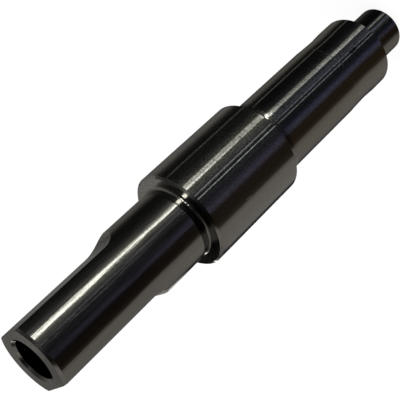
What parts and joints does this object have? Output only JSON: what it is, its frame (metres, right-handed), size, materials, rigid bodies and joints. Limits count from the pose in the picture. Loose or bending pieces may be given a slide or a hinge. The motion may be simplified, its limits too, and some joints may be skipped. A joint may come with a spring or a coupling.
{
  "type": "stepped shaft",
  "caption": "Ground stepped shaft with a double-D drive end, a blind bore in its end face, a wide collar, a relieved journal and a short end stub.",
  "frame": {"origin": "centre of the stub's end face, which the shaft stands on", "axes": "+Z along the shaft's axis towards the bored drive end, +X square to one milled flat, +Y along the flats"},
  "size_m": [0.05, 0.05, 0.262],
  "materials": {
    "ground_steel": "ground and polished dark steel, with fine grinding marks round the journals and milling marks on the flats"
  },
  "bodies": {
    "root": {"shaft": "ground_steel"}
  },
  "joints": []
}
